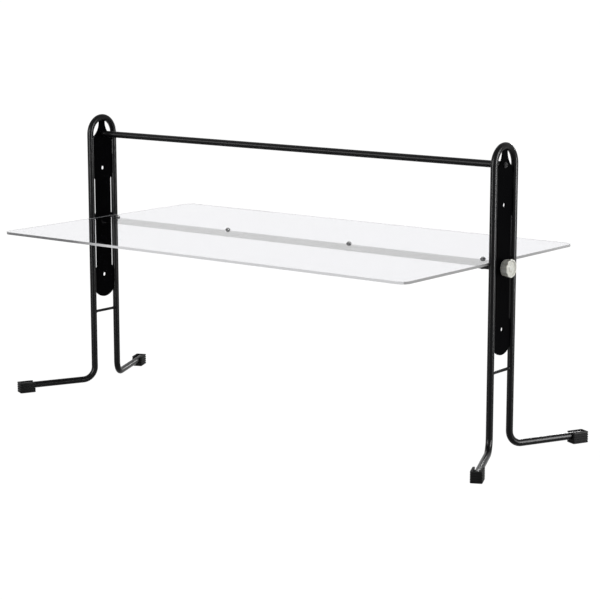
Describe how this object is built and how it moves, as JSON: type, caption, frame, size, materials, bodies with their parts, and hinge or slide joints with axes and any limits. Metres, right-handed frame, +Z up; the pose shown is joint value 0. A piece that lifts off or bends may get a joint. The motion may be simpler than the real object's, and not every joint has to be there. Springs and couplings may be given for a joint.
{
  "type": "sneeze guard",
  "caption": "Countertop sneeze guard: a clear flat panel tilting on a cross tube between two arched tube end frames, clamped by side knobs.",
  "frame": {"origin": "bottom centre of the whole guard, on the counter top", "axes": "+X along the counter to the right, +Y from the diner's side to the server's side, +Z up"},
  "size_m": [1.4168, 0.69, 0.704],
  "materials": {
    "powder_coated_steel": "satin black powder coat",
    "moulded_foot": "matt black moulded",
    "acrylic": "clear polished",
    "milky_plastic": "translucent moulded",
    "nylon": "black turned",
    "black_zinc_steel": "black zinc plated",
    "zinc_plated_steel": "zinc plated",
    "chrome": "polished"
  },
  "bodies": {
    "frame": {"left_frame_tube": "powder_coated_steel", "left_plate": "powder_coated_steel", "left_rung": "powder_coated_steel", "left_front_foot": "moulded_foot", "left_rear_foot": "moulded_foot", "right_frame_tube": "powder_coated_steel", "right_plate": "powder_coated_steel", "right_rung": "powder_coated_steel", "right_front_foot": "moulded_foot", "right_rear_foot": "moulded_foot", "crossbar_tube": "powder_coated_steel", "crossbar_left_plug": "zinc_plated_steel", "crossbar_right_plug": "zinc_plated_steel", "crossbar_left_washer": "black_zinc_steel", "crossbar_right_washer": "black_zinc_steel", "crossbar_left_bolt": "black_zinc_steel", "crossbar_right_bolt": "black_zinc_steel"},
    "panel": {"support_tube": "powder_coated_steel", "support_left_plug": "zinc_plated_steel", "support_right_plug": "zinc_plated_steel", "left_friction_washer": "nylon", "right_friction_washer": "nylon", "acrylic_panel": "acrylic", "panel_screw_1": "chrome", "panel_screw_2": "chrome", "panel_screw_3": "chrome", "panel_screw_4": "chrome", "panel_washer_1": "nylon", "panel_washer_2": "nylon", "panel_washer_3": "nylon", "panel_washer_4": "nylon", "screw_bush_1": "powder_coated_steel", "screw_bush_2": "powder_coated_steel", "screw_bush_3": "powder_coated_steel", "screw_bush_4": "powder_coated_steel"},
    "left_clamp": {"left_knob": "milky_plastic", "left_stud": "zinc_plated_steel", "left_knob_washer": "black_zinc_steel"},
    "right_clamp": {"right_knob": "milky_plastic", "right_stud": "zinc_plated_steel", "right_knob_washer": "black_zinc_steel"}
  },
  "joints": [
    {"name": "panel_tilt", "type": "hinge", "parent": "frame", "child": "panel", "pos_m": [0, 0.017, 0.427], "axis": [1, 0, 0], "range_deg": [-75, 75]},
    {"name": "left_knob_turn", "type": "hinge", "parent": "panel", "child": "left_clamp", "pos_m": [-0.62, 0.017, 0.427], "axis": [-1, 0, 0], "range_deg": [0, 540]},
    {"name": "right_knob_turn", "type": "hinge", "parent": "panel", "child": "right_clamp", "pos_m": [0.62, 0.017, 0.427], "axis": [1, 0, 0], "range_deg": [0, 540]}
  ]
}
